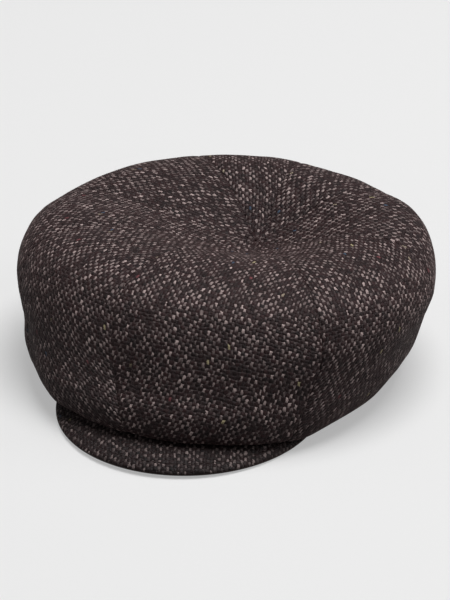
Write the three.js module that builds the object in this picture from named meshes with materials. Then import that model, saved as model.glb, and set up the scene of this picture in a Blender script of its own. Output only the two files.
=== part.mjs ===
// A flat cap with a puffed eight-panel crown, lying on a table: the crown, its sweatband and a short peak.
// Millimetres, +Z up. The front of the cap looks along -Y, and the cap rests on z = 0.
import * as THREE from "three";

// Head opening, and the sweatband that lines it
const HEAD_LENGTH = 198;
const HEAD_WIDTH = 165;
const BAND_WALL = 2.2;
const BAND_HEIGHT = 30;

// Crown: the cloth, its height, and how far it puffs out past the sweatband
const CLOTH_WALL = 2;
const CROWN_HEIGHT = 100;
const FRONT_OVERHANG = 30;
const SIDE_OVERHANG = 52;
const BACK_OVERHANG = 34;
const TIP_SETBACK = 37; // the panels meet this far behind the middle of the head opening
const TIP_ASIDE = 6; // and this far to its left
const CROWN_LEAN = 4.5; // the crown has slumped this far to its right
const TIP_RADIUS = 1;
const PANEL_PUFF = 2; // a panel's middle stands this far out from its seams

// Stretches of the way from the crown's tip, 0, to its sewn edge, 1, over which something comes in or dies away
const TIP_MIDDLES = [0, 0.5]; // the tip's offset to the left gives way to the crown's slump to the right
const SLUMP_ENDS = [0.8, 1];
const PUFF_STARTS = [0, 0.2];
const PUFF_ENDS = [0.9, 1];
const SEAM_SLANTS = [0.4, 0.9]; // a seam goes over from its angle at the top to its angle at the edge
const HEIGHT_LIFTS = [0.62, 0.78]; // heights are measured from what the cloth lies on, not from the table
const CLOTH_RESTS = [0.7, 0.8]; // folds no longer reach below what the cloth lies on

// Peak: its reach ahead of the sweatband, its width against the sweatband's, and the plate
const PEAK_REACH = 48.5;
const PEAK_INSET = 1; // each side of the peak stops this far short of the sweatband's side
const PEAK_WIDEST = 60; // the peak is widest this far ahead of the middle of the head opening
const PEAK_THICKNESS = 4.5;
const PEAK_RISE = 14; // from its front edge up to its sewn edge
const PEAK_ARCH = 1.5; // its front edge is higher in the middle by this
const PEAK_WRAP = 98; // degrees round its outline, from the front to each end
const PEAK_CLEARS = [1.12, 1.4]; // the cloth past the peak sinks to the table over these shares of its outline

// Clearances
const SEAM_GAP = 0.3;
const BAND_GAP = 0.5;
const LIE_GAP = 0.6;
const FLOOR_GAP = 1;

// Mesh steps, and the small steps that slopes are measured over
const ROW_STEPS = 26;
const BAND_STEPS = 96;
const PEAK_COLUMNS = 24;
const PEAK_ROWS = 8;
const NORMAL_STEP = 0.002;
const SPEED_STEP = 0.01;

// Columns of a panel, as shares of its width, closer beside the seams
const PANEL_COLUMNS = [0, 0.07, 0.2, 0.36, 0.5, 0.64, 0.8, 0.93, 1];

// Sections of the crown's top. Reach is a share of the way from the tip of the panels to the crown's widest line on
// that side, height a share of the crown's height.
const TOP_SECTIONS = [
  { name: "tip", front: [0, 0.72], side: [0, 0.72], back: [0, 0.72] },
  { name: "dent", front: [0.12, 0.74], side: [0.1, 0.745], back: [0.112, 0.765] },
  { name: "slope", front: [0.28, 0.84], side: [0.277, 0.82], back: [0.275, 0.87] },
  { name: "rise", front: [0.41, 0.95], side: [0.452, 0.905], back: [0.438, 0.965] },
  { name: "crest", front: [0.53, 0.985], side: [0.612, 0.95], back: [0.57, 1] },
  { name: "fall", front: [0.66, 0.965], side: [0.773, 0.955], back: [0.723, 0.98] },
  { name: "shoulder", front: [0.785, 0.885], side: [0.904, 0.9], back: [0.855, 0.92] },
  { name: "rim", front: [0.855, 0.745], side: [0.975, 0.8], back: [0.957, 0.81] },
  { name: "wall", front: [0.905, 0.56], side: [1, 0.64], back: [1, 0.66] },
];

// Sections of its lower part. Reach is a share of the overhang past the sweatband on that side, height a share of the
// way from what the cloth lies on up to the crown's height.
const LOWER_SECTIONS = [
  { name: "low wall", front: [0.71, 0.37], side: [0.882, 0.43], back: [0.935, 0.45] },
  { name: "bulge", front: [0.94, 0.2], side: [0.77, 0.25], back: [0.76, 0.26] },
  { name: "roll", front: [1, 0.06], side: [0.55, 0.08], back: [0.524, 0.09] },
  { name: "turn under", front: [0.8, 0.003], side: [0.31, 0.005], back: [0.2, 0.005] },
  { name: "sewn edge", front: [0, 0.01], side: [0, 0.02], back: [0, 0.02] },
];

// Seams, in degrees from the front and towards the cap's left on the wearer: at the crown's top and at its lower edge
const SEAMS = [
  { name: "front", top: -14, low: -5 },
  { name: "front left", top: 45, low: 47 },
  { name: "left", top: 95, low: 92 },
  { name: "back left", top: 140, low: 138 },
  { name: "back", top: 174, low: 178 },
  { name: "back right", top: 209, low: 218 },
  { name: "right", top: 262, low: 265 },
  { name: "front right", top: 303, low: 310 },
];

// Dents and folds: where each lies, how far it spreads, and how far it stands out as a share of the crown's height
const FOLDS = [
  { name: "right shoulder", angle: -64, section: 7.6, angleSpread: 26, sectionSpread: 1.2, out: 0.005 },
  { name: "right pinch", angle: -72, section: 9, angleSpread: 16, sectionSpread: 0.9, out: -0.03 },
  { name: "right low fold", angle: -53, section: 10.9, angleSpread: 20, sectionSpread: 0.9, out: -0.005 },
  { name: "right valley", angle: -95, section: 3.4, angleSpread: 22, sectionSpread: 1.4, out: -0.04 },
  { name: "right back fall", angle: -105, section: 6.2, angleSpread: 24, sectionSpread: 1.6, out: -0.035 },
  { name: "left back rise", angle: 122, section: 6, angleSpread: 20, sectionSpread: 1.2, out: 0.035 },
  { name: "left low fold", angle: 115, section: 10.2, angleSpread: 22, sectionSpread: 1, out: 0.035 },
  { name: "left corner fold", angle: 52, section: 11, angleSpread: 14, sectionSpread: 0.9, out: 0.03 },
];

const FULL_TURN = 360;
const RADIANS = (2 * Math.PI) / FULL_TURN;
const bandFront = HEAD_LENGTH / 2 + BAND_WALL;
const bandSide = HEAD_WIDTH / 2 + BAND_WALL;
const peakTip = bandFront + PEAK_REACH;
const peakHalfWidth = bandSide - PEAK_INSET;

// One side's profile as a smooth curve through its sections: x is the reach from the middle, y the height
function profile(side, band, overhang, tipAt) {
  const widest = band + overhang;
  const top = TOP_SECTIONS.map((section) => {
    const [reach, height] = section[side];
    return new THREE.Vector2(tipAt + TIP_RADIUS + reach * (widest - tipAt - TIP_RADIUS), height * CROWN_HEIGHT);
  });
  const lower = LOWER_SECTIONS.map((section) => {
    const [reach, height] = section[side];
    return new THREE.Vector2(band + BAND_GAP + reach * (overhang - BAND_GAP), height * CROWN_HEIGHT);
  });
  return new THREE.SplineCurve([...top, ...lower]);
}

const frontProfile = profile("front", bandFront, FRONT_OVERHANG, -TIP_SETBACK);
const sideProfile = profile("side", bandSide, SIDE_OVERHANG, 0);
const backProfile = profile("back", bandFront, BACK_OVERHANG, TIP_SETBACK);
const lastSection = TOP_SECTIONS.length + LOWER_SECTIONS.length - 1;

// 0 up to the start of a stretch, 1 from its end on, and smooth between
function smoothStep([from, to], value) {
  return THREE.MathUtils.smoothstep(value, from, to);
}

// How far inside the peak's outline a place is: 0 in its middle, 1 on the outline, more outside
function peakShare(x, forward) {
  return Math.hypot(x / peakHalfWidth, (forward - PEAK_WIDEST) / (peakTip - PEAK_WIDEST));
}

// Height of the peak's upper face
function peakTop(x, forward) {
  const rootShare = peakShare(0, bandFront);
  const rise = (PEAK_RISE * (1 - Math.min(peakShare(x, forward), 1))) / (1 - rootShare);
  const arch = PEAK_ARCH * (1 - Math.min(Math.abs(x) / peakHalfWidth, 1) ** 2);
  return PEAK_THICKNESS + rise + arch;
}

// Height that the cloth lies on: the table, or the peak where the peak is under it
function support(x, forward) {
  const onPeak = 1 - smoothStep(PEAK_CLEARS, peakShare(x, forward));
  return FLOOR_GAP + (peakTop(x, forward) + LIE_GAP - FLOOR_GAP) * onPeak;
}

// The crown's smooth form before panels and folds: angle in radians from the front, share from tip to sewn edge
function crownForm(angle, share) {
  const front = frontProfile.getPoint(share);
  const side = sideProfile.getPoint(share);
  const back = backProfile.getPoint(share);
  const ahead = Math.max(Math.cos(angle), 0) ** 2;
  const behind = Math.max(-Math.cos(angle), 0) ** 2;
  const forward = (front.x - back.x) / 2 + ((front.x + back.x) / 2) * Math.cos(angle);
  const height = side.y + (front.y - side.y) * ahead + (back.y - side.y) * behind;
  const slump = smoothStep(TIP_MIDDLES, share) * (1 - smoothStep(SLUMP_ENDS, share));
  const aside = TIP_ASIDE * (1 - smoothStep(TIP_MIDDLES, share)) - CROWN_LEAN * slump;
  const x = aside + side.x * Math.sin(angle);
  const lift = support(x, forward) * smoothStep(HEIGHT_LIFTS, share);
  return new THREE.Vector3(x, -forward, THREE.MathUtils.lerp(lift, CROWN_HEIGHT, height / CROWN_HEIGHT));
}

// The direction that points out of the smooth form, from two short steps across it
function crownNormal(angle, share) {
  const from = Math.max(share - NORMAL_STEP, 0);
  const to = Math.min(share + NORMAL_STEP, 1);
  const round = crownForm(angle + NORMAL_STEP, share).sub(crownForm(angle - NORMAL_STEP, share));
  const along = crownForm(angle, to).sub(crownForm(angle, from));
  return round.cross(along).normalize().negate();
}

// How far all dents and folds together move the cloth out at a place
function foldAt(angle, share) {
  return FOLDS.reduce((sum, fold) => {
    const turn = Math.atan2(Math.sin(angle - fold.angle * RADIANS), Math.cos(angle - fold.angle * RADIANS));
    const across = turn / (fold.angleSpread * RADIANS);
    const along = (share * lastSection - fold.section) / fold.sectionSpread;
    return sum + fold.out * CROWN_HEIGHT * Math.exp(-(across ** 2 + along ** 2));
  }, 0);
}

// A point of the crown's outer face and of its inner face. Puff is 0 at a seam and 1 in a panel's middle.
function crownWall(angle, share, puff) {
  const normal = crownNormal(angle, share);
  const seamDepth = PANEL_PUFF * smoothStep(PUFF_STARTS, share) * (1 - smoothStep(PUFF_ENDS, share));
  const outer = crownForm(angle, share).addScaledVector(normal, foldAt(angle, share) - (1 - puff) * seamDepth);
  outer.z = Math.max(outer.z, support(outer.x, -outer.y) * smoothStep(CLOTH_RESTS, share));
  const inner = outer.clone().addScaledVector(normal, -CLOTH_WALL);
  return { outer, inner };
}

// A closed plate from two grids of points of one size, the outer one seen from outside with rows running down
function closedPlate(outerGrid, innerGrid) {
  const rows = outerGrid.length;
  const columns = outerGrid[0].length;
  const points = [...outerGrid.flat(), ...innerGrid.flat()];
  const outer = (row, column) => row * columns + column;
  const inner = (row, column) => rows * columns + outer(row, column);
  const faces = [];
  const quad = (a, b, c, d) => faces.push(a, b, c, a, c, d);
  for (let row = 0; row + 1 < rows; row += 1) {
    for (let column = 0; column + 1 < columns; column += 1) {
      quad(outer(row, column), outer(row + 1, column), outer(row + 1, column + 1), outer(row, column + 1));
      quad(inner(row, column), inner(row, column + 1), inner(row + 1, column + 1), inner(row + 1, column));
    }
    quad(outer(row, 0), inner(row, 0), inner(row + 1, 0), outer(row + 1, 0));
    const last = columns - 1;
    quad(outer(row, last), outer(row + 1, last), inner(row + 1, last), inner(row, last));
  }
  for (let column = 0; column + 1 < columns; column += 1) {
    quad(outer(0, column), outer(0, column + 1), inner(0, column + 1), inner(0, column));
    const last = rows - 1;
    quad(outer(last, column), inner(last, column), inner(last, column + 1), outer(last, column + 1));
  }
  const geometry = new THREE.BufferGeometry();
  geometry.setAttribute("position", new THREE.Float32BufferAttribute(points.flatMap((p) => [p.x, p.y, p.z]), 3));
  geometry.setIndex(faces);
  geometry.computeVertexNormals();
  return geometry;
}

// Angle of a seam at a share of the way down, moved sideways by half the seam's gap
function seamAngle(seam, share, sideways) {
  const angle = THREE.MathUtils.lerp(seam.top, seam.low, smoothStep(SEAM_SLANTS, share)) * RADIANS;
  const ahead = crownForm(angle + SPEED_STEP, share);
  const speed = ahead.distanceTo(crownForm(angle - SPEED_STEP, share)) / (2 * SPEED_STEP);
  return angle + (sideways * SEAM_GAP) / 2 / speed;
}

// One panel of the crown, from the tip down to its sewn edge
function panelGeometry(fromSeam, toSeam) {
  const outerGrid = [];
  const innerGrid = [];
  for (let row = 0; row <= ROW_STEPS; row += 1) {
    const share = row / ROW_STEPS;
    const from = seamAngle(fromSeam, share, 1);
    const to = seamAngle(toSeam, share, -1);
    const walls = PANEL_COLUMNS.map((column) => {
      const puff = Math.sqrt(Math.sin(Math.PI * column));
      return crownWall(THREE.MathUtils.lerp(from, to, column), share, puff);
    });
    outerGrid.push(walls.map((wall) => wall.outer));
    innerGrid.push(walls.map((wall) => wall.inner));
  }
  return closedPlate(outerGrid, innerGrid);
}

// The peak: a plate from the sweatband's oval out to its own rounder outline, level across its thickness
function peakGeometry() {
  const outlineLength = peakTip - PEAK_WIDEST;
  const rootFront = bandFront + BAND_GAP;
  const rootSide = bandSide + BAND_GAP;
  const endForward = PEAK_WIDEST + outlineLength * Math.cos(PEAK_WRAP * RADIANS);
  const rootWrap = Math.acos(endForward / rootFront);
  const topGrid = [];
  const bottomGrid = [];
  for (let row = 0; row <= PEAK_ROWS; row += 1) {
    const out = row / PEAK_ROWS;
    const top = [];
    for (let column = 0; column <= PEAK_COLUMNS; column += 1) {
      const across = (2 * column) / PEAK_COLUMNS - 1;
      const edgeAngle = across * PEAK_WRAP * RADIANS;
      const rootAngle = across * rootWrap;
      const edgeForward = PEAK_WIDEST + outlineLength * Math.cos(edgeAngle);
      const x = THREE.MathUtils.lerp(rootSide * Math.sin(rootAngle), peakHalfWidth * Math.sin(edgeAngle), out);
      const forward = THREE.MathUtils.lerp(rootFront * Math.cos(rootAngle), edgeForward, out);
      top.push(new THREE.Vector3(x, -forward, peakTop(x, forward)));
    }
    topGrid.push(top);
    bottomGrid.push(top.map((point) => new THREE.Vector3(point.x, point.y, point.z - PEAK_THICKNESS)));
  }
  return closedPlate(topGrid, bottomGrid);
}

// The sweatband: an oval ring with flat edges
function bandGeometry() {
  const oval = (length, width, clockwise) => {
    const curve = new THREE.EllipseCurve(0, 0, width / 2, length / 2, 0, 2 * Math.PI, clockwise, 0);
    return curve.getPoints(BAND_STEPS).slice(0, -1);
  };
  const shape = new THREE.Shape(oval(2 * bandFront, 2 * bandSide, false));
  shape.holes.push(new THREE.Path(oval(HEAD_LENGTH, HEAD_WIDTH, true)));
  return new THREE.ExtrudeGeometry(shape, { depth: BAND_HEIGHT, bevelEnabled: false });
}

const tweed = { color: 0x3c3434, roughness: 0.95, metalness: 0 };
const cap = new THREE.Group();

function addPiece(name, geometry, finish) {
  const mesh = new THREE.Mesh(geometry, new THREE.MeshStandardMaterial(finish));
  mesh.name = name;
  cap.add(mesh);
}

SEAMS.forEach((seam, index) => {
  const last = index === SEAMS.length - 1;
  const next = last ? { top: SEAMS[0].top + FULL_TURN, low: SEAMS[0].low + FULL_TURN } : SEAMS[index + 1];
  addPiece(`crown_panel_${index + 1}`, panelGeometry(seam, next), tweed);
});
addPiece("peak", peakGeometry(), tweed);
addPiece("sweatband", bandGeometry(), { color: 0x4a2a20, roughness: 0.7, metalness: 0 });

// The origin is under the middle of the whole cap
const box = new THREE.Box3().setFromObject(cap);
const middle = box.getCenter(new THREE.Vector3());
cap.position.set(-middle.x, -middle.y, -box.min.z);

export default cap;
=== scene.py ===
"""A tweed flat cap lying on a pale studio floor: its cloth, peak and sweatband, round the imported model."""
import math

import bpy
import numpy as np
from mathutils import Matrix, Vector, noise


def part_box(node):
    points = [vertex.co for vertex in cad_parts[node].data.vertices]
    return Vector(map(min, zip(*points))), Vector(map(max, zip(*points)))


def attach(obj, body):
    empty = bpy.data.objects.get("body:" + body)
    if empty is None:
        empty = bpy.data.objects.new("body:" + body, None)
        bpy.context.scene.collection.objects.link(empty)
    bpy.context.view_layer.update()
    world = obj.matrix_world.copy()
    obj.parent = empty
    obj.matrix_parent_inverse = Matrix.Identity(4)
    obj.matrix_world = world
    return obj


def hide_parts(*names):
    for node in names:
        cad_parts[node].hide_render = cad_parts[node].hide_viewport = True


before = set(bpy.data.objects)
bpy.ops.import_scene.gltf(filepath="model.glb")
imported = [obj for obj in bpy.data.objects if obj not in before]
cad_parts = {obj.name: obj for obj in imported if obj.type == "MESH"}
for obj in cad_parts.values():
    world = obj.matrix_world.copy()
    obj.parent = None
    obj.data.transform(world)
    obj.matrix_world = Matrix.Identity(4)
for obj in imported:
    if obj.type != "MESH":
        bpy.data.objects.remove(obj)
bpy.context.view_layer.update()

# Sizes in millimetres. The model's frame is in metres.
MM = 0.001
HEAD_LENGTH = 198
HEAD_WIDTH = 165
BAND_WALL = 2.2
BAND_HEIGHT = 30
CLOTH_WALL = 2
CROWN_HEIGHT = 100
FRONT_OVERHANG = 30
SIDE_OVERHANG = 52
BACK_OVERHANG = 34
TIP_SETBACK = 37
TIP_ASIDE = 6
CROWN_LEAN = 4.5
TIP_RADIUS = 1
PEAK_REACH = 48.5
PEAK_INSET = 1
PEAK_WIDEST = 60
PEAK_THICKNESS = 4.5
PEAK_RISE = 14
PEAK_ARCH = 1.5
PEAK_WRAP = 98
SEAM_GAP = 0.1
BAND_GAP = 0.5
LIE_GAP = 0.6
FLOOR_GAP = 1

# Stretches of the way from tip, 0, to sewn edge, 1, over which something comes in or dies away
TIP_MIDDLES = (0, 0.5)
SLUMP_ENDS = (0.8, 1)
PUFF_STARTS = (0, 0.2)
PUFF_ENDS = (0.9, 1)
SEAM_SLANTS = (0.4, 0.9)
HEIGHT_LIFTS = (0.62, 0.78)
CLOTH_RESTS = (0.7, 0.8)
PEAK_CLEARS = (1.12, 1.4)

# The crown's top, from tip to widest line: shares of reach and height at front, side and back
TOP_SECTIONS = {
    "tip": ((0, 0.72), (0, 0.72), (0, 0.72)),
    "dent": ((0.12, 0.74), (0.1, 0.745), (0.112, 0.765)),
    "slope": ((0.28, 0.84), (0.277, 0.82), (0.275, 0.87)),
    "rise": ((0.41, 0.95), (0.452, 0.905), (0.438, 0.965)),
    "crest": ((0.53, 0.985), (0.612, 0.95), (0.57, 1)),
    "fall": ((0.66, 0.965), (0.773, 0.955), (0.723, 0.98)),
    "shoulder": ((0.785, 0.885), (0.904, 0.9), (0.855, 0.92)),
    "rim": ((0.855, 0.745), (0.975, 0.8), (0.957, 0.81)),
    "wall": ((0.905, 0.56), (1, 0.64), (1, 0.66)),
}
# Its lower part: reach as a share of the overhang, height above what the cloth lies on
LOWER_SECTIONS = {
    "low wall": ((0.71, 0.37), (0.882, 0.43), (0.935, 0.45)),
    "bulge": ((0.94, 0.2), (0.77, 0.25), (0.76, 0.26)),
    "roll": ((1, 0.06), (0.55, 0.08), (0.524, 0.09)),
    "turn under": ((0.8, 0.003), (0.31, 0.005), (0.2, 0.005)),
    "sewn edge": ((0, 0.01), (0, 0.02), (0, 0.02)),
}
# Seams in degrees from the front, towards the wearer's left: at the crown's top and at its lower edge
SEAMS = ((-14, -5), (45, 47), (95, 92), (140, 138), (174, 178), (209, 218), (262, 265), (303, 310))

# Dents and folds: angle, section, spread of each, and how far out as a share of the height
FOLDS = {
    "right shoulder": (-64, 7.6, 26, 1.2, 0.005),
    "right pinch": (-72, 9, 16, 0.9, -0.03),
    "right low fold": (-53, 10.9, 20, 0.9, -0.005),
    "right valley": (-95, 3.4, 22, 1.4, -0.04),
    "right back fall": (-105, 6.2, 24, 1.6, -0.035),
    "left back rise": (122, 6, 20, 1.2, 0.035),
    "left low fold": (115, 10.2, 22, 1, 0.035),
    "left corner fold": (52, 11, 14, 0.9, 0.03),
}

# How the seams draw the cloth in: broadly, and as a narrow groove
SEAM_DIP = 0.8
SEAM_GROOVE = 0.4
GROOVE_WIDTH = 1.8
PUCKER = 0.22
PUCKER_LENGTH = 9
PUCKER_WIDTH = 6
# Creases that run out from the tip: how high, how far they reach, and how many there are
CREASE = 0.5
CREASE_REACH = 13
CREASES = 21
CREASE_STARTS = (1, 6)
CREASE_SWAY = 3
# The cloth's own unevenness: height and length of its waves
WAVES = ((1.2, 38), (0.45, 14))

# Mesh steps
ROW_STEPS = 150
COLUMN_STEPS = 44
COLUMN_SHARES = (0.55, 0.45)  # crowded towards the seams, and evenly spaced
PEAK_COLUMNS = 160
PEAK_ROWS = 40
BAND_STEPS = 240
NORMAL_STEP = 0.002
SPEED_STEP = 0.01

# Tweed: spacing of its two sets of yarns, and which way the first set runs on each panel, in degrees
FLOAT_SPACING = 2.25
FLOAT_LENGTH = 2.45
PANEL_GRAIN = (12, 13, 8, 4, 3, -18, -22, -5)
PEAK_GRAIN = -20
# The peak's cloth is darkened by this factor: painted shade, standing in for the crown's shadow on the peak
PEAK_PAINTED_SHADE = 0.5
# A panel is cut flat, so its cross yarns bow about a middle this far above its tip
BOW_ABOVE = 60

# How far the yarns wander, jump from float to float and fray: noise scale and reach, for each set
WANDER = ((1 / 22, 4.0), (1 / 18, 3.4))
JUMP = ((0.8, 0.9), (0.7, 0.8))
FRAY = ((0.9, 1.5), (0.7, 1.7))
# How high a yarn rises at a crossing, how narrow it looks, and when the pale one shows
YARN_WAVE = 0.55
PALE_NARROW = (2.2, 3.4)
DARK_NARROW = 2.0
PALE_SHOWS = (0.08, 0.5)
# A float's brightness: by chance, by thick and thin stretches of its yarn, and in patches
CHANCE_POWER = 2.2
CHANCE_SHARE = 0.85
SLUB_SCALES = (7.3, 0.22)
SLUB_TONE = (-0.22, 0.3)
MOTTLE_LENGTH = 3.6
MOTTLE_TONE = (-0.3, 0.28)
CLOUD_LENGTH = 40
CLOUD_TONE = (-0.02, 0.02)
HAIR_SCALE = 1.9
HAIR_TONE = (0.6, 1.4)
# The stretches of a noise that are used
NOISE_MIDDLE = (0.3, 0.7)
NOISE_WIDE = (0.25, 0.75)
# One float in about 140 is a fleck, of one of three colours by these shares
FLECK_CHANCE = (0.992, 0.994)
RUST_CHANCE = (0.45, 0.5)
BLUE_CHANCE = (0.75, 0.8)
# Relief of the yarns' twist and hairs beside the weave's own, and the depth of it all in millimetres
TWIST_SLANT = 1.6
TWIST_LENGTH = 0.9
TWIST_RELIEF = 0.04
HAIR_RELIEF = 0.5
TWEED_RELIEF = 0.55

# Colours as the screen shows them, 0 to 255, from darkest to palest
PALE_YARN = ((42, 29, 30), (186, 166, 163))
DARK_YARN = ((22, 8, 9), (50, 28, 29))
CREAM_FLECK, RUST_FLECK, BLUE_FLECK = (170, 158, 124), (112, 62, 66), (66, 84, 104)
TWEED_SHEEN = (205, 166, 164)
LEATHER = ((72, 38, 28), (112, 62, 44))
EDGE_CLOTH = ((34, 20, 18), (62, 37, 31))
THREAD = ((22, 14, 14), (58, 42, 40))

# The peak: how its edge is rounded, and the sewn line inside the edge
PEAK_ROUND = 1.6
RIM_WIDTH = 7.0
RIM_DROP = 2.4
STITCH_INSET = 6.0
STITCH_DEPTH = 0.7
STITCH_WIDTH = 1.3
STITCH_LENGTH = 2.6
STITCH_PITCH = 3.6
STITCH_STAND = 0.35
STITCH_SPAN = 0.9
STITCH_STEPS = 6
STITCH_SIDES = 6
THREAD_RADIUS = 0.35
# Rows crowd towards the peak's edge, the groove fades at its ends, the cover parts from the under cloth
PEAK_CROWDING = 1.7
GROOVE_FADE = 12
COVER_LEAST = 0.3
COVER_PARTING = 0.05
UNDER_MOST = 2
STITCH_LINE_STEPS = 2001
STITCH_BLUNT = 0.05

# The sweatband: heights of its rows, round its lower edge, and how far out its inner face stands
BAND_ROWS = (0.6, 0.2, 0, 0.25, 0.8, 2, 4, 8, 14, 20, 26, 29, BAND_HEIGHT)
BAND_INSET = 0.6

# Camera: where the photograph was taken from, in degrees and millimetres about the head's middle
CAMERA_AZIMUTH = 22
CAMERA_ELEVATION = 27.8
CAMERA_DISTANCE = 1500
PIXELS_PER_MM = 1.528
LOOK_RIGHT = -0.5
LOOK_UP = 39.8
FRAME_HEIGHT = 600
SENSOR = 36

# The floor's paper: how much light it returns, and the even glow that keeps its shadows faint
FLOOR_ALBEDO = 0.45
FLOOR_BOUNCE = 0.23
FLOOR_GLOW = 0.38
FLOOR_REACH = 6

# Soft lights: place and size in metres, and power in watts
LIGHTS = {
    "overhead_softbox": ((0.55, 0.45, 3.9), 2.6, 144),
    "right_fill": ((3.0, 1.1, 1.4), 1.8, 20),
    "left_fill": ((-3.0, -0.9, 1.0), 1.8, 5),
}
LIGHT_AIM = (0, 0, 0.04)
STUDIO_GLOW = 0.12

band_low, band_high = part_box("sweatband")
head_middle = (np.array(band_low) + np.array(band_high))[:2] / 2 / MM
band_front = HEAD_LENGTH / 2 + BAND_WALL
band_side = HEAD_WIDTH / 2 + BAND_WALL
peak_tip = band_front + PEAK_REACH
peak_half = band_side - PEAK_INSET
last_section = len(TOP_SECTIONS) + len(LOWER_SECTIONS) - 1


def smooth_step(stretch, value):
    """0 up to the start of a stretch, 1 from its end on, and smooth between."""
    t = np.clip((value - stretch[0]) / (stretch[1] - stretch[0]), 0, 1)
    return t * t * (3 - 2 * t)


def spline(points, share):
    """A smooth curve through points, at shares of its length in points."""
    points = np.asarray(points, float)
    place = np.clip(share, 0, 1) * (len(points) - 1)
    first = np.minimum(place.astype(int), len(points) - 2)
    t = (place - first)[..., None]
    before, start, end, after = (points[np.clip(first + k, 0, len(points) - 1)] for k in (-1, 0, 1, 2))
    out, into = (end - before) / 2, (after - start) / 2
    cubic = (2 * start - 2 * end + out + into) * t ** 3
    square = (3 * end - 3 * start - 2 * out - into) * t ** 2
    return cubic + square + out * t + start


def profile(side, band, overhang, tip_at):
    """One side's sections as points of reach and height, in millimetres."""
    widest = band + overhang
    start = tip_at + TIP_RADIUS
    inner = band + BAND_GAP
    top = [section[side] for section in TOP_SECTIONS.values()]
    low = [section[side] for section in LOWER_SECTIONS.values()]
    points = [(start + reach * (widest - start), height * CROWN_HEIGHT) for reach, height in top]
    points += [(inner + reach * (overhang - BAND_GAP), height * CROWN_HEIGHT) for reach, height in low]
    return points


FRONT_PROFILE = profile(0, band_front, FRONT_OVERHANG, -TIP_SETBACK)
SIDE_PROFILE = profile(1, band_side, SIDE_OVERHANG, 0)
BACK_PROFILE = profile(2, band_front, BACK_OVERHANG, TIP_SETBACK)


def peak_share(x, forward):
    """0 in the middle of the peak's outline, 1 on it, and more outside."""
    return np.hypot(x / peak_half, (forward - PEAK_WIDEST) / (peak_tip - PEAK_WIDEST))


def peak_top(x, forward):
    """Height of the peak's upper face."""
    root_share = peak_share(0, band_front)
    rise = PEAK_RISE * (1 - np.minimum(peak_share(x, forward), 1)) / (1 - root_share)
    arch = PEAK_ARCH * (1 - np.minimum(np.abs(x) / peak_half, 1) ** 2)
    return PEAK_THICKNESS + rise + arch


def support(x, forward):
    """Height that the cloth lies on: the table, or the peak where the peak is under it."""
    on_peak = 1 - smooth_step(PEAK_CLEARS, peak_share(x, forward))
    return FLOOR_GAP + (peak_top(x, forward) + LIE_GAP - FLOOR_GAP) * on_peak


def crown_form(angle, share):
    """The crown's smooth form before panels and folds, as points in millimetres."""
    front, side, back = (spline(p, share) for p in (FRONT_PROFILE, SIDE_PROFILE, BACK_PROFILE))
    ahead = np.maximum(np.cos(angle), 0) ** 2
    behind = np.maximum(-np.cos(angle), 0) ** 2
    forward = (front[..., 0] - back[..., 0]) / 2 + (front[..., 0] + back[..., 0]) / 2 * np.cos(angle)
    height = side[..., 1] + (front[..., 1] - side[..., 1]) * ahead + (back[..., 1] - side[..., 1]) * behind
    slump = smooth_step(TIP_MIDDLES, share) * (1 - smooth_step(SLUMP_ENDS, share))
    aside = TIP_ASIDE * (1 - smooth_step(TIP_MIDDLES, share)) - CROWN_LEAN * slump
    x = aside + side[..., 0] * np.sin(angle)
    lift = support(x, forward) * smooth_step(HEIGHT_LIFTS, share)
    return np.stack([x, -forward, lift + (CROWN_HEIGHT - lift) * height / CROWN_HEIGHT], axis=-1)


def crown_normal(angle, share):
    """The direction out of the smooth form."""
    around = crown_form(angle + NORMAL_STEP, share) - crown_form(angle - NORMAL_STEP, share)
    to, start = np.minimum(share + NORMAL_STEP, 1), np.maximum(share - NORMAL_STEP, 0)
    along = crown_form(angle, to) - crown_form(angle, start)
    normal = -np.cross(around, along)
    return normal / np.linalg.norm(normal, axis=-1, keepdims=True)


def fold_at(angle, share):
    """How far all dents and folds together move the cloth out at a place."""
    total = np.zeros(np.broadcast(angle, share).shape)
    for middle, section, angle_spread, section_spread, out in FOLDS.values():
        turn = angle - math.radians(middle)
        across = np.arctan2(np.sin(turn), np.cos(turn)) / math.radians(angle_spread)
        along = (share * last_section - section) / section_spread
        total += out * CROWN_HEIGHT * np.exp(-(across ** 2 + along ** 2))
    return total


def waves_at(points):
    """Small uneven waves of the cloth, the same on both sides of a seam."""
    flat = points.reshape(-1, 3)
    total = np.zeros(len(flat))
    for height, length in WAVES:
        total += [height * noise.noise(Vector(p) / length) for p in flat]
    return total.reshape(points.shape[:-1])


def seam_angle(seam, share, sideways):
    """Angle of a seam at a share of the way down, moved sideways by half the seam's gap."""
    angle = np.radians(seam[0] + (seam[1] - seam[0]) * smooth_step(SEAM_SLANTS, share))
    ahead = crown_form(angle + SPEED_STEP, share)
    speed = np.linalg.norm(ahead - crown_form(angle - SPEED_STEP, share), axis=-1) / (2 * SPEED_STEP)
    return angle + sideways * SEAM_GAP / 2 / speed


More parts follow.
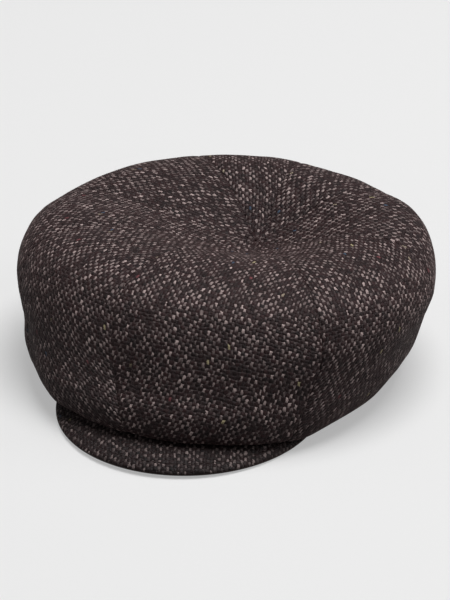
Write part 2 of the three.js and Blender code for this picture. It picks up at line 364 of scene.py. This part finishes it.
def shell(name, outer, inner, uv, smooth=True):
    """A closed plate from two grids of points of one size, in millimetres, with cloth coordinates."""
    rows, columns = outer.shape[:2]
    count = rows * columns
    points = np.concatenate([outer.reshape(-1, 3), inner.reshape(-1, 3)])
    index = np.arange(count).reshape(rows, columns)
    a, b, c, d = index[:-1, :-1], index[1:, :-1], index[1:, 1:], index[:-1, 1:]
    quads = [np.stack([a, b, c, d], axis=-1).reshape(-1, 4)]
    quads.append(np.stack([a, d, c, b], axis=-1).reshape(-1, 4) + count)
    rim = np.concatenate([index[:, 0], index[-1, 1:], index[-2::-1, -1], index[0, -2:0:-1]])
    following = np.roll(rim, -1)
    quads.append(np.stack([following, rim, rim + count, following + count], axis=-1))
    faces = np.concatenate(quads)
    mesh = bpy.data.meshes.new(name)
    mesh.from_pydata((points * MM).tolist(), [], faces.tolist())
    mesh.validate()
    layer = mesh.uv_layers.new(name="cloth")
    flat = np.concatenate([uv.reshape(-1, 2)] * 2)
    corners = np.empty(len(mesh.loops), dtype=np.int32)
    mesh.loops.foreach_get("vertex_index", corners)
    layer.data.foreach_set("uv", flat[corners].astype(np.float32).ravel())
    mesh.polygons.foreach_set("use_smooth", [smooth] * len(mesh.polygons))
    mesh.update()
    piece = bpy.data.objects.new(name, mesh)
    bpy.context.scene.collection.objects.link(piece)
    return piece


def place(points):
    """Points about the head's middle, moved to the model's frame."""
    return points + np.array([head_middle[0], head_middle[1], 0])


def turned(u, v, degrees):
    """Cloth coordinates turned so that the first yarns run that many degrees off the panel's length."""
    a = math.radians(degrees)
    return np.stack([u * math.cos(a) + v * math.sin(a), v * math.cos(a) - u * math.sin(a)], axis=-1)


def crown_panel(number, from_seam, to_seam, grain):
    """One panel of the crown as a cloth shell."""
    share = np.linspace(0, 1, ROW_STEPS + 1)[:, None]
    across = (1 - np.cos(np.pi * np.linspace(0, 1, COLUMN_STEPS + 1))) / 2
    even = np.linspace(0, 1, COLUMN_STEPS + 1)
    column = (COLUMN_SHARES[0] * across + COLUMN_SHARES[1] * even)[None, :]
    start = seam_angle(from_seam, share, 1)
    end = seam_angle(to_seam, share, -1)
    angle = start + (end - start) * column
    share = np.broadcast_to(share, angle.shape)
    form = crown_form(angle, share)
    normal = crown_normal(angle, share)
    steps = np.linalg.norm(np.diff(form, axis=1), axis=-1)
    width = np.concatenate([np.zeros((len(form), 1)), np.cumsum(steps, axis=1)], axis=1)
    from_edge = np.minimum(width, width[:, -1:] - width)
    middle = COLUMN_STEPS // 2
    u = width - width[:, middle:middle + 1]
    rise = np.linalg.norm(np.diff(form[:, middle], axis=0), axis=-1)
    v = np.concatenate([[0], np.cumsum(rise)])[:, None] + np.zeros_like(u)
    straight = v - u ** 2 / (2 * (v + BOW_ABOVE))
    ends = smooth_step(PUFF_STARTS, share) * (1 - smooth_step(PUFF_ENDS, share))
    puff = np.sqrt(np.sin(np.pi * column))
    groove = np.exp(-(from_edge / GROOVE_WIDTH) ** 2)
    pucker = PUCKER * np.sin(2 * np.pi * v / PUCKER_LENGTH + number)
    pucker = pucker * np.exp(-from_edge / PUCKER_WIDTH)
    out = fold_at(angle, share) - ends * (SEAM_DIP * (1 - puff) + SEAM_GROOVE * groove - pucker)
    creases = CREASE * np.sin(CREASES * angle + np.sin(CREASE_SWAY * angle)) * np.exp(-v / CREASE_REACH)
    out = out + waves_at(form) * ends + creases * smooth_step(CREASE_STARTS, v)
    outer = form + normal * out[..., None]
    floor = support(outer[..., 0], -outer[..., 1]) * smooth_step(CLOTH_RESTS, share)
    outer[..., 2] = np.maximum(outer[..., 2], floor)
    inner = outer - normal * CLOTH_WALL
    piece = shell(f"tweed_panel_{number}", place(outer), place(inner), turned(u, straight, grain))
    piece.data.materials.append(tweed)
    dress(piece, f"crown_panel_{number}")


def dress(piece, node):
    """The piece rides on the one body and stands for a node of the model, whose own mesh is hidden."""
    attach(piece, "root")
    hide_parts(node)


def linear(red, green, blue):
    """A colour given as the screen shows it, 0 to 255, as the renderer needs it."""
    shares = [c / 255 for c in (red, green, blue)]
    return tuple(c / 12.92 if c <= 0.04045 else ((c + 0.055) / 1.055) ** 2.4 for c in shares)


class Graph:
    """A material's nodes, written as functions of their sockets."""

    def __init__(self, name):
        self.material = bpy.data.materials.new(name)
        self.material.use_nodes = True
        self.nodes = self.material.node_tree.nodes
        self.links = self.material.node_tree.links
        self.shader = self.nodes["Principled BSDF"]

    def put(self, socket, value):
        """Links or sets a socket."""
        if isinstance(value, bpy.types.NodeSocket):
            self.links.new(value, socket)
        else:
            socket.default_value = value

    def math(self, operation, *values):
        """A sum, product or other step on numbers."""
        node = self.nodes.new("ShaderNodeMath")
        node.operation = operation
        for socket, value in zip(node.inputs, values):
            self.put(socket, value)
        return node.outputs[0]

    def combine(self, x, y, z=0.0):
        """Three numbers as one vector."""
        node = self.nodes.new("ShaderNodeCombineXYZ")
        for socket, value in zip(node.inputs, (x, y, z)):
            self.put(socket, value)
        return node.outputs[0]

    def cloth(self):
        """The two cloth coordinates, in millimetres."""
        node = self.nodes.new("ShaderNodeUVMap")
        node.uv_map = "cloth"
        split = self.nodes.new("ShaderNodeSeparateXYZ")
        self.links.new(node.outputs[0], split.inputs[0])
        return split.outputs[0], split.outputs[1]

    def noise(self, vector, scale, detail=2.0, rough=0.5):
        """Smooth noise, mostly between 0.25 and 0.75."""
        node = self.nodes.new("ShaderNodeTexNoise")
        self.put(node.inputs["Vector"], vector)
        node.inputs["Scale"].default_value = scale
        node.inputs["Detail"].default_value = detail
        node.inputs["Roughness"].default_value = rough
        return node.outputs["Fac"]

    def drift(self, vector, scale, reach, detail=2.0):
        """Smooth noise about 0, for moving something to either side."""
        return self.math("MULTIPLY", self.math("SUBTRACT", self.noise(vector, scale, detail), 0.5), reach)

    def chance(self, vector):
        """A number from 0 to 1 by chance, the same for the same vector."""
        node = self.nodes.new("ShaderNodeTexWhiteNoise")
        node.noise_dimensions = "3D"
        self.put(node.inputs["Vector"], vector)
        return node.outputs["Value"]

    def span(self, value, low, high, to_low=0.0, to_high=1.0, kind="LINEAR"):
        """A value's stretch from low to high, spread over another stretch and held at its ends."""
        node = self.nodes.new("ShaderNodeMapRange")
        node.interpolation_type = kind
        for socket, number in zip(node.inputs, (value, low, high, to_low, to_high)):
            self.put(socket, number)
        return node.outputs[0]

    def mix(self, share, first, second):
        """A blend of two colours."""
        node = self.nodes.new("ShaderNodeMix")
        node.data_type = "RGBA"
        sockets = [s for s in node.inputs if s.type == "RGBA"]
        self.put(node.inputs[0], share)
        for socket, value in zip(sockets, (first, second)):
            self.put(socket, value if isinstance(value, bpy.types.NodeSocket) else (*value, 1))
        return next(s for s in node.outputs if s.type == "RGBA")

    def brighten(self, colour, factor):
        """A colour times a factor."""
        node = self.nodes.new("ShaderNodeVectorMath")
        node.operation = "SCALE"
        self.put(node.inputs[0], colour)
        self.put(node.inputs["Scale"], factor)
        return node.outputs[0]

    def surface(self, **values):
        """Sets the shader's plain values. A name's underscores stand for spaces."""
        for name, value in values.items():
            self.shader.inputs[name.replace("_", " ")].default_value = value

    def bump(self, height, distance):
        """Fine relief of the surface."""
        node = self.nodes.new("ShaderNodeBump")
        node.inputs["Distance"].default_value = distance
        node.inputs["Strength"].default_value = 1.0
        self.put(node.inputs["Height"], height)
        self.links.new(node.outputs[0], self.shader.inputs["Normal"])


def tweed_material(name, painted_shade_factor):
    """Coarse tweed: pale yarns that float over every second dark one, uneven, mottled and flecked."""
    g = Graph(name)
    u, v = g.cloth()
    flat = g.combine(u, v)
    wander_u = g.drift(flat, *WANDER[0])
    wander_v = g.drift(g.combine(v, u, 9.0), *WANDER[1])
    fray_u = g.drift(g.combine(u, v, 30.0), *FRAY[0])
    fray_v = g.drift(g.combine(u, v, 40.0), *FRAY[1])
    across = g.math("DIVIDE", g.math("ADD", g.math("ADD", u, wander_u), fray_u), FLOAT_SPACING)
    along = g.math("DIVIDE", g.math("ADD", g.math("ADD", v, wander_v), fray_v), FLOAT_LENGTH)
    jump_across = g.drift(g.combine(across, along, 3.0), *JUMP[0])
    jump_along = g.drift(g.combine(along, across, 7.0), *JUMP[1])
    across, along = g.math("ADD", across, jump_across), g.math("ADD", along, jump_along)
    column, row = g.math("FLOOR", across), g.math("FLOOR", along)
    a = g.math("SUBTRACT", g.math("SUBTRACT", across, column), 0.5)
    b = g.math("SUBTRACT", g.math("SUBTRACT", along, row), 0.5)
    odd = g.math("FLOORED_MODULO", g.math("ADD", column, row), 2.0)
    up = g.math("SUBTRACT", 1.0, g.math("MULTIPLY", odd, 2.0))

    def yarn(sign, length_place, width_place, narrow):
        """Height of a round yarn that goes over one crossing and under the next."""
        wave = g.math("MULTIPLY", g.math("COSINE", g.math("MULTIPLY", length_place, math.pi)), sign)
        share = g.math("MULTIPLY", width_place, narrow)
        left = g.math("SUBTRACT", 1.0, g.math("MULTIPLY", share, share))
        round_part = g.math("SQRT", g.math("MAXIMUM", left, 0.0))
        return g.math("ADD", g.math("MULTIPLY", wave, YARN_WAVE), round_part)

    turn = g.math("FLOORED_MODULO", column, 2.0)
    from_turn = g.math("SUBTRACT", g.math("ADD", along, 0.5), turn)
    float_row = g.math("FLOOR", g.math("MULTIPLY", from_turn, 0.5))
    float_tone = g.chance(g.combine(column, float_row, 1.0))
    narrow = g.span(g.chance(g.combine(column, float_row, 8.0)), 0.0, 1.0, *PALE_NARROW)
    pale = yarn(up, b, a, narrow)
    dark = yarn(g.math("MULTIPLY", up, -1.0), a, b, DARK_NARROW)
    shown = g.span(g.math("SUBTRACT", pale, dark), *PALE_SHOWS, kind="SMOOTHSTEP")
    height = g.math("MAXIMUM", pale, dark)

    thick = g.combine(g.math("MULTIPLY", column, SLUB_SCALES[0]), g.math("MULTIPLY", along, SLUB_SCALES[1]))
    slub = g.noise(thick, 1.0, 2.0)
    mottle = g.noise(flat, 1 / MOTTLE_LENGTH, 2.0, 0.6)
    cloud = g.noise(g.combine(u, v, 20.0), 1 / CLOUD_LENGTH, 2.0)
    tone = g.math("MULTIPLY", g.math("POWER", float_tone, CHANCE_POWER), CHANCE_SHARE)
    tone = g.math("ADD", tone, g.span(slub, *NOISE_WIDE, *SLUB_TONE))
    tone = g.math("ADD", tone, g.span(mottle, *NOISE_MIDDLE, *MOTTLE_TONE))
    tone = g.math("ADD", tone, g.span(cloud, *NOISE_MIDDLE, *CLOUD_TONE))
    pale_colour = g.mix(g.span(tone, 0.0, 1.0), linear(*PALE_YARN[0]), linear(*PALE_YARN[1]))
    fleck = g.chance(g.combine(column, float_row, 5.0))
    kind = g.chance(g.combine(column, float_row, 6.0))
    fleck_colour = g.mix(g.span(kind, *RUST_CHANCE), linear(*CREAM_FLECK), linear(*RUST_FLECK))
    fleck_colour = g.mix(g.span(kind, *BLUE_CHANCE), fleck_colour, linear(*BLUE_FLECK))
    pale_colour = g.mix(g.span(fleck, *FLECK_CHANCE), pale_colour, fleck_colour)
    ground_tone = g.chance(g.combine(column, row, 2.0))
    ground = g.mix(ground_tone, linear(*DARK_YARN[0]), linear(*DARK_YARN[1]))
    colour = g.mix(shown, ground, pale_colour)
    hairs = g.noise(g.combine(u, v, 2.0), HAIR_SCALE, 3.0, 0.6)
    # The factor darkens the whole cloth where it is below 1: painted shade, on top of the hairs' own tone
    hair_tone_and_painted_shade = g.span(hairs, *NOISE_WIDE, HAIR_TONE[0] * painted_shade_factor, HAIR_TONE[1] * painted_shade_factor)
    g.put(g.shader.inputs["Base Color"], g.brighten(colour, hair_tone_and_painted_shade))
    g.surface(Roughness=0.55, Specular_IOR_Level=0.3, Sheen_Weight=0.16, Sheen_Roughness=0.3)
    g.surface(Sheen_Tint=(*linear(*TWEED_SHEEN), 1))
    slanted = g.math("ADD", u, g.math("MULTIPLY", v, TWIST_SLANT))
    twist = g.math("SINE", g.math("MULTIPLY", slanted, 2 * math.pi / TWIST_LENGTH))
    relief = g.math("ADD", g.math("ADD", height, g.math("MULTIPLY", hairs, HAIR_RELIEF)),
                    g.math("MULTIPLY", twist, TWIST_RELIEF))
    g.bump(relief, TWEED_RELIEF * MM)
    return g.material


def leather_material():
    """Thin brown leather with fine grain and darker worn patches."""
    g = Graph("band_leather")
    u, v = g.cloth()
    flat = g.combine(u, v)
    grain = g.noise(flat, 1.6, 4.0, 0.6)
    patches = g.noise(flat, 1 / 16, 2.0)
    colour = g.mix(g.span(patches, *NOISE_MIDDLE), linear(*LEATHER[0]), linear(*LEATHER[1]))
    colour = g.brighten(colour, g.span(grain, *NOISE_MIDDLE, 0.8, 1.15))
    g.put(g.shader.inputs["Base Color"], colour)
    g.surface(Roughness=0.5)
    g.bump(grain, 0.15 * MM)
    return g.material


def lining_material():
    """Plain dark cotton twill under the peak and along its edge."""
    g = Graph("edge_cloth")
    u, v = g.cloth()
    ribs = g.math("SINE", g.math("MULTIPLY", g.math("ADD", u, v), 2 * math.pi / 0.8))
    uneven = g.noise(g.combine(u, v), 0.5, 3.0)
    colour = g.mix(uneven, linear(*EDGE_CLOTH[0]), linear(*EDGE_CLOTH[1]))
    g.put(g.shader.inputs["Base Color"], colour)
    g.surface(Roughness=0.8, Sheen_Weight=0.15)
    g.bump(ribs, 0.08 * MM)
    return g.material


def thread_material():
    """Dark brown twisted sewing thread."""
    g = Graph("thread")
    place_node = g.nodes.new("ShaderNodeTexCoord")
    fibre = g.noise(place_node.outputs["Object"], 3000.0, 2.0)
    g.put(g.shader.inputs["Base Color"], g.mix(fibre, linear(*THREAD[0]), linear(*THREAD[1])))
    g.surface(Roughness=0.6)
    return g.material


def peak_outline(across):
    """Places at the peak's root and on its own outline, worked out from angles, for a share from -1 to 1."""
    reach = peak_tip - PEAK_WIDEST
    edge_angle = across * math.radians(PEAK_WRAP)
    end_forward = PEAK_WIDEST + reach * math.cos(math.radians(PEAK_WRAP))
    root_front = band_front + BAND_GAP
    root_angle = across * math.acos(end_forward / root_front)
    edge = np.stack([peak_half * np.sin(edge_angle), PEAK_WIDEST + reach * np.cos(edge_angle)], axis=-1)
    root_side = band_side + BAND_GAP
    root = np.stack([root_side * np.sin(root_angle), root_front * np.cos(root_angle)], axis=-1)
    return root, edge


def make_peak():
    """The peak's tweed cover and, below its rounded edge, the plain cloth under it."""
    across = np.linspace(-1, 1, PEAK_COLUMNS + 1)
    root, edge = peak_outline(across)
    way = edge - root
    length = np.linalg.norm(way, axis=-1)
    out = 1 - (1 - np.linspace(0, 1, PEAK_ROWS + 1)) ** PEAK_CROWDING
    flat = root[None] + way[None] * out[:, None, None]
    from_edge = (1 - out)[:, None] * length[None]
    side_fade = np.minimum(np.abs(np.abs(across) - 1) * GROOVE_FADE, 1)[None]
    round_in = np.clip(1 - from_edge / PEAK_ROUND, 0, 1)
    drop = PEAK_ROUND * (1 - np.sqrt(1 - round_in ** 2))
    rim_in = np.clip(1 - from_edge / RIM_WIDTH, 0, 1)
    rim = RIM_DROP * (1 - np.sqrt(1 - rim_in ** 2))
    groove = STITCH_DEPTH * np.exp(-((from_edge - STITCH_INSET) / STITCH_WIDTH) ** 2) * side_fade
    x, forward = flat[..., 0], flat[..., 1]
    high = peak_top(x, forward)
    top = np.stack([x, -forward, high - rim - groove], axis=-1)
    middle = np.stack([x, -forward, high - PEAK_THICKNESS + drop], axis=-1)
    parting = np.minimum(high - PEAK_THICKNESS / 2, top[..., 2] - COVER_LEAST)
    under_of_top = np.stack([x, -forward, parting + COVER_PARTING], axis=-1)
    under_height = np.minimum(parting - COVER_PARTING, middle[..., 2] + UNDER_MOST)
    top_of_under = np.stack([x, -forward, under_height], axis=-1)
    uv = turned(x, forward, PEAK_GRAIN)
    cover = shell("peak_tweed", place(top), place(under_of_top), uv)
    cover.data.materials.append(peak_tweed)
    dress(cover, "peak")
    under = shell("peak_under_cloth", place(top_of_under), place(middle), uv)
    under.data.materials.append(edge_cloth)
    dress(under, "peak")


def make_stitches():
    """Short dark stitches in the groove round the peak's edge."""
    across = np.linspace(-STITCH_SPAN, STITCH_SPAN, STITCH_LINE_STEPS)
    root, edge = peak_outline(across)
    way = edge - root
    line = edge - way * (STITCH_INSET / np.linalg.norm(way, axis=-1))[:, None]
    run = np.concatenate([[0], np.cumsum(np.linalg.norm(np.diff(line, axis=0), axis=-1))])
    along = np.linspace(0, 1, STITCH_STEPS + 1)
    turn = np.arange(STITCH_SIDES) * 2 * np.pi / STITCH_SIDES
    points, faces = [], []
    for start in np.arange(0, run[-1] - STITCH_LENGTH, STITCH_PITCH):
        at = start + along * STITCH_LENGTH
        middle = np.stack([np.interp(at, run, line[:, 0]), np.interp(at, run, line[:, 1])], axis=-1)
        way_on = np.gradient(middle, axis=0)
        aside = np.stack([-way_on[:, 1], way_on[:, 0]], axis=-1)
        aside = aside / np.linalg.norm(way_on, axis=-1, keepdims=True)
        thick = THREAD_RADIUS * np.sqrt(np.maximum(np.sin(np.pi * along), STITCH_BLUNT))
        high = peak_top(middle[:, 0], middle[:, 1]) - STITCH_DEPTH + STITCH_STAND * np.sin(np.pi * along)
        first = len(points) * STITCH_SIDES
        for row in range(STITCH_STEPS + 1):
            across_row = middle[row] + aside[row] * (thick[row] * np.cos(turn))[:, None]
            height = high[row] + thick[row] * np.sin(turn)
            points.append(np.column_stack([across_row[:, 0], -across_row[:, 1], height]))
        for row in range(STITCH_STEPS):
            low = first + row * STITCH_SIDES
            for k in range(STITCH_SIDES):
                following = (k + 1) % STITCH_SIDES
                high_row = low + STITCH_SIDES
                faces.append((low + k, low + following, high_row + following, high_row + k))
        faces.append(tuple(first + k for k in reversed(range(STITCH_SIDES))))
        faces.append(tuple(first + STITCH_STEPS * STITCH_SIDES + k for k in range(STITCH_SIDES)))
    mesh = bpy.data.meshes.new("peak_stitches")
    mesh.from_pydata((place(np.concatenate(points)) * MM).tolist(), [], faces)
    stitches = bpy.data.objects.new("peak_stitches", mesh)
    bpy.context.scene.collection.objects.link(stitches)
    mesh.materials.append(thread)
    dress(stitches, "peak")


def make_band():
    """The sweatband: a thin leather ring whose rows crowd towards its lower edge and turn back up there."""
    turn = np.linspace(0, 2 * np.pi, BAND_STEPS + 1)
    outer = np.zeros((len(BAND_ROWS), BAND_STEPS + 1, 3))
    inner = np.zeros_like(outer)
    for row, height in enumerate(BAND_ROWS):
        for grid, extra in ((outer, BAND_WALL), (inner, BAND_INSET)):
            grid[row, :, 0] = (HEAD_WIDTH / 2 + extra) * np.sin(turn)
            grid[row, :, 1] = -(HEAD_LENGTH / 2 + extra) * np.cos(turn)
            grid[row, :, 2] = height
    round_way = np.broadcast_to(turn * HEAD_LENGTH / 2, outer.shape[:2])
    uv = np.stack([round_way, outer[..., 2]], axis=-1)
    band = shell("leather_band", place(outer[::-1]), place(inner[::-1]), uv)
    band.data.materials.append(leather)
    dress(band, "sweatband")


tweed = tweed_material("tweed", 1.0)
# A darker copy of the tweed for the peak: painted shade in place of the crown's shadow
peak_tweed = tweed_material("peak_tweed", PEAK_PAINTED_SHADE)
leather = leather_material()
edge_cloth = lining_material()
thread = thread_material()

first_again = tuple(degrees + 360 for degrees in SEAMS[0])
for index, seam in enumerate(SEAMS):
    following = (*SEAMS[1:], first_again)[index]
    crown_panel(index + 1, seam, following, PANEL_GRAIN[index])
make_peak()
make_stitches()
make_band()

def make_camera():
    """The camera, at the photograph's angle."""
    azimuth, elevation = math.radians(CAMERA_AZIMUTH), math.radians(CAMERA_ELEVATION)
    flat = Vector((math.sin(azimuth), -math.cos(azimuth), 0))
    back = flat * math.cos(elevation) + Vector((0, 0, math.sin(elevation)))
    right = Vector((math.cos(azimuth), math.sin(azimuth), 0))
    up = back.cross(right)
    look = Vector((*head_middle, 0)) + right * LOOK_RIGHT + up * LOOK_UP
    data = bpy.data.cameras.new("camera")
    data.sensor_width = SENSOR
    data.lens = SENSOR * PIXELS_PER_MM * CAMERA_DISTANCE / FRAME_HEIGHT
    camera = bpy.data.objects.new("camera", data)
    camera.location = (look + back * CAMERA_DISTANCE) * MM
    camera.rotation_euler = back.to_track_quat("Z", "Y").to_euler()
    data.clip_end = 100
    bpy.context.scene.collection.objects.link(camera)
    bpy.context.scene.camera = camera


def make_floor():
    """A plain pale sheet of paper that the cap lies on."""
    mesh = bpy.data.meshes.new("floor")
    corners = [(x * FLOOR_REACH, y * FLOOR_REACH, 0) for x, y in ((-1, -1), (1, -1), (1, 1), (-1, 1))]
    mesh.from_pydata(corners, [], [(0, 1, 2, 3)])
    floor = bpy.data.objects.new("floor", mesh)
    bpy.context.scene.collection.objects.link(floor)
    g = Graph("floor_paper")
    place_node = g.nodes.new("ShaderNodeTexCoord")
    grain = g.noise(place_node.outputs["Object"], 400.0, 2.0)
    g.surface(Roughness=0.9, Specular_IOR_Level=0.1, Emission_Color=(1, 1, 1, 1))
    seen = g.nodes.new("ShaderNodeLightPath").outputs["Is Camera Ray"]
    returned = g.span(seen, 0.0, 1.0, FLOOR_BOUNCE, FLOOR_ALBEDO)
    shade = g.math("MULTIPLY", returned, g.span(grain, 0.0, 1.0, 0.99, 1.01))
    g.put(g.shader.inputs["Base Color"], g.combine(shade, shade, shade))
    g.put(g.shader.inputs["Emission Strength"], g.math("MULTIPLY", seen, FLOOR_GLOW))
    mesh.materials.append(g.material)


def make_light(name, place_at, size, power):
    """A round soft light turned towards the cap."""
    data = bpy.data.lights.new(name, "AREA")
    data.shape = "DISK"
    data.size = size
    data.energy = power
    light = bpy.data.objects.new(name, data)
    light.location = place_at
    light.rotation_euler = (Vector(place_at) - Vector(LIGHT_AIM)).to_track_quat("Z", "Y").to_euler()
    bpy.context.scene.collection.objects.link(light)


make_camera()
make_floor()
for light_name, light_row in LIGHTS.items():
    make_light(light_name, *light_row)
world = bpy.data.worlds.new("studio")
world.use_nodes = True
world.node_tree.nodes["Background"].inputs["Color"].default_value = (1, 1, 1, 1)
world.node_tree.nodes["Background"].inputs["Strength"].default_value = STUDIO_GLOW
bpy.context.scene.world = world
bpy.context.scene.view_settings.view_transform = "Standard"
